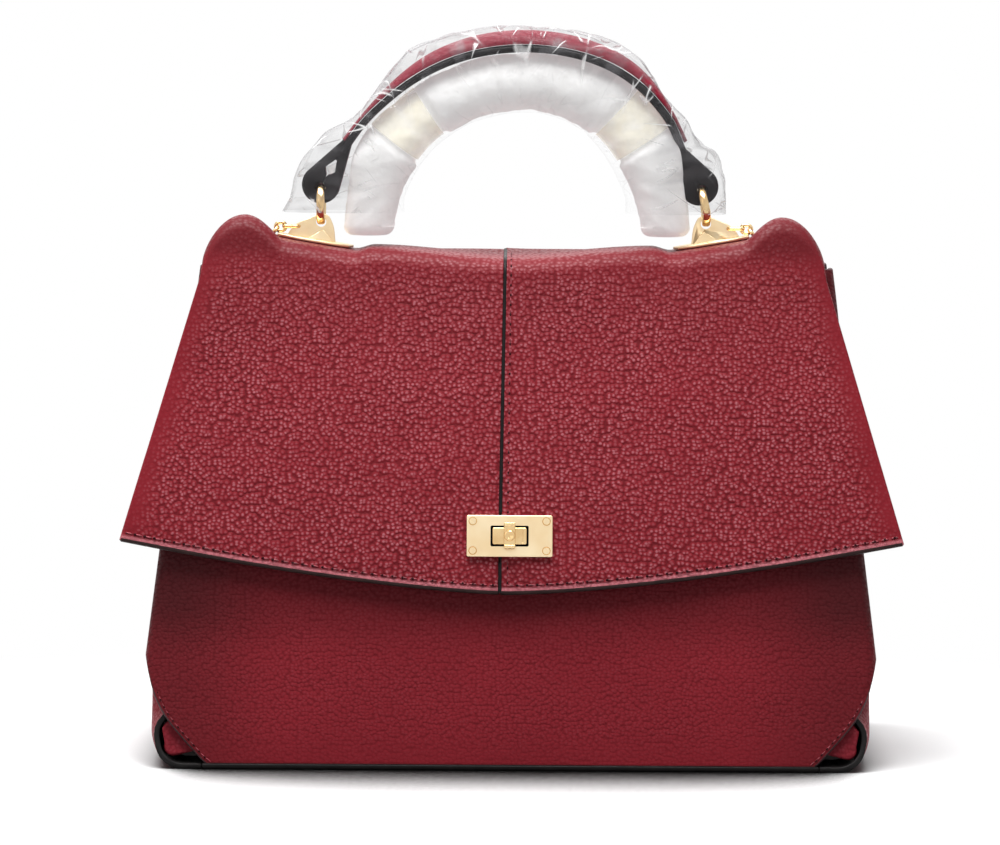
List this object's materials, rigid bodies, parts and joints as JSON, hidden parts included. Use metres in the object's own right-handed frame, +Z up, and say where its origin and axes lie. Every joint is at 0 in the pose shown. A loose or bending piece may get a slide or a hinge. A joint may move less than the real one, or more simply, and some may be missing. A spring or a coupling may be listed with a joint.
{
  "type": "handbag",
  "caption": "Structured trapezoid leather handbag with a front flap, turn lock, arched top handle in its foam and film packing, ring plates and short chains into the bag",
  "frame": {"origin": "middle of the flat base, on the surface that the bag stands on", "axes": "+Z up; -Y out of the front, where the flap hangs and the lock is; +X to the right of someone who looks at the front"},
  "size_m": [0.308, 0.12, 0.2927],
  "materials": {
    "leather": "burgundy pebbled leather, semi-matt",
    "painted_edge": "folded leather strap with black painted edges",
    "lining_cloth": "dark woven lining cloth",
    "fibre_board": "pressed fibre board",
    "gold_metal": "polished pale gold plating",
    "foam": "white packing foam",
    "tape": "yellowish see-through adhesive tape",
    "film": "clear crinkled plastic film"
  },
  "bodies": {
    "body": {"back_left_corner_tab": "leather", "back_panel": "leather", "back_right_corner_tab": "leather", "base_board": "fibre_board", "base_panel": "leather", "body_lining": "lining_cloth", "flap_anchor_strip": "leather", "front_left_corner_tab": "leather", "front_panel": "leather", "front_right_corner_tab": "leather", "left_gusset": "leather", "lock_base": "gold_metal", "lock_washer": "gold_metal", "right_gusset": "leather"},
    "flap": {"flap_left_panel": "leather", "flap_right_panel": "leather", "flap_lining": "leather", "lock_plate": "gold_metal", "lock_backing_plate": "gold_metal", "lock_plate_screw_1": "gold_metal", "lock_plate_screw_2": "gold_metal", "lock_plate_screw_3": "gold_metal", "lock_plate_screw_4": "gold_metal", "left_fin_plate": "gold_metal", "left_fin_backing": "gold_metal", "left_chain_link_1": "gold_metal", "left_chain_link_2": "gold_metal", "left_chain_link_3": "gold_metal", "right_fin_plate": "gold_metal", "right_fin_backing": "gold_metal", "right_chain_link_1": "gold_metal", "right_chain_link_2": "gold_metal", "right_chain_link_3": "gold_metal"},
    "handle": {"handle_band": "painted_edge", "handle_cover": "leather", "foam_left": "foam", "foam_middle": "foam", "foam_right": "foam", "tape_left": "tape", "tape_right": "tape", "handle_film": "film"},
    "turn_knob": {"turn_knob": "gold_metal"},
    "left_ring": {"left_ring": "gold_metal"},
    "right_ring": {"right_ring": "gold_metal"},
    "left_chain_tail": {"left_chain_tail": "gold_metal"},
    "right_chain_tail": {"right_chain_tail": "gold_metal"}
  },
  "joints": [
    {"name": "flap_hinge", "type": "hinge", "parent": "body", "child": "flap", "pos_m": [0, 0.0255, 0.19975], "axis": [-1, 0, 0], "range_deg": [0, 105]},
    {"name": "knob_turn", "type": "hinge", "parent": "body", "child": "turn_knob", "pos_m": [-0.0008, -0.04753, 0.0913], "axis": [0, -0.9835, 0.181], "range_deg": [0, 90]},
    {"name": "handle_swing", "type": "hinge", "parent": "flap", "child": "handle", "pos_m": [0, 0, 0.22018], "axis": [1, 0, 0], "range_deg": [-50, 50]},
    {"name": "left_ring_swing", "type": "hinge", "parent": "flap", "child": "left_ring", "pos_m": [-0.07755, 0, 0.22018], "axis": [1, 0, 0], "range_deg": [-50, 50]},
    {"name": "right_ring_swing", "type": "hinge", "parent": "flap", "child": "right_ring", "pos_m": [0.07755, 0, 0.22018], "axis": [1, 0, 0], "range_deg": [-50, 50]},
    {"name": "left_chain_swing", "type": "hinge", "parent": "flap", "child": "left_chain_tail", "pos_m": [-0.09781, 0, 0.20865], "axis": [-1, 0, 0], "range_deg": [-48, 0]},
    {"name": "right_chain_swing", "type": "hinge", "parent": "flap", "child": "right_chain_tail", "pos_m": [0.09781, 0, 0.20865], "axis": [-1, 0, 0], "range_deg": [-48, 0]}
  ],
  "couplings": [
    {"joint": "left_ring_swing", "follows": "handle_swing", "ratio": 1},
    {"joint": "right_ring_swing", "follows": "handle_swing", "ratio": 1},
    {"joint": "left_chain_swing", "follows": "flap_hinge", "ratio": -0.45},
    {"joint": "right_chain_swing", "follows": "flap_hinge", "ratio": -0.45}
  ]
}
